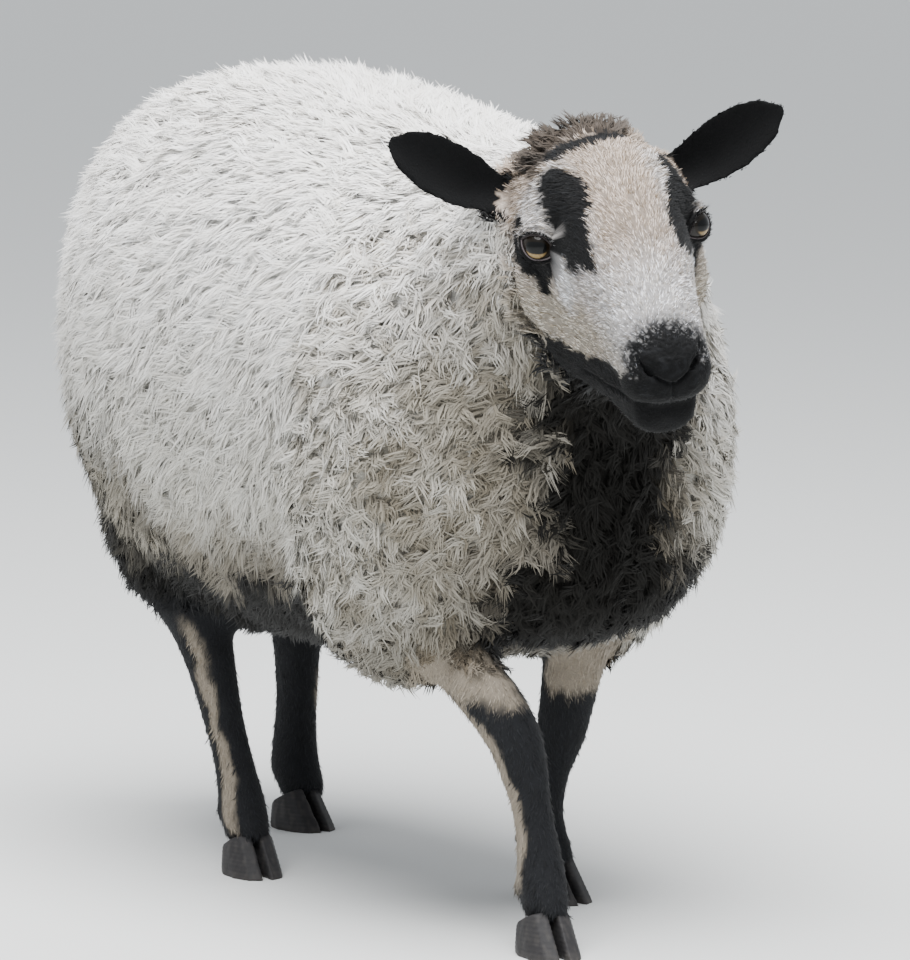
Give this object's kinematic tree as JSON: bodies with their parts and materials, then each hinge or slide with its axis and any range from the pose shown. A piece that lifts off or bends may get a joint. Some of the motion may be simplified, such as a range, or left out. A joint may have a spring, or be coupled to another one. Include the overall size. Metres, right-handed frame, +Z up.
{
  "type": "sheep",
  "caption": "Life-size woolly ewe of a badger-faced mountain breed, walking with her head turned, as a still model that stands on its hooves.",
  "frame": {"origin": "middle of the footprint at floor level", "axes": "-Y is where the ewe walks to, +X her left side, +Z up"},
  "size_m": [0.3522, 0.832, 0.5758],
  "materials": {
    "fleece": "matte fleece, soft and loose",
    "grey_wool": "matte fleece, crimped locks",
    "short_hair": "short flat face hair, slight sheen",
    "black_hair": "short flat hair, slight sheen",
    "leg_hair": "short flat leg hair, slight sheen",
    "horn": "dull dark horn",
    "eye": "wet and glossy"
  },
  "bodies": {
    "root": {"trunk": "fleece", "neck": "grey_wool", "head": "short_hair", "ear_left": "black_hair", "ear_right": "black_hair", "eye_left": "eye", "eye_right": "eye", "tail": "grey_wool", "foreleg_right": "leg_hair", "claw_foreleg_right_outer": "horn", "claw_foreleg_right_inner": "horn", "foreleg_left": "leg_hair", "claw_foreleg_left_outer": "horn", "claw_foreleg_left_inner": "horn", "hindleg_right": "leg_hair", "claw_hindleg_right_outer": "horn", "claw_hindleg_right_inner": "horn", "hindleg_left": "leg_hair", "claw_hindleg_left_outer": "horn", "claw_hindleg_left_inner": "horn"}
  },
  "joints": []
}
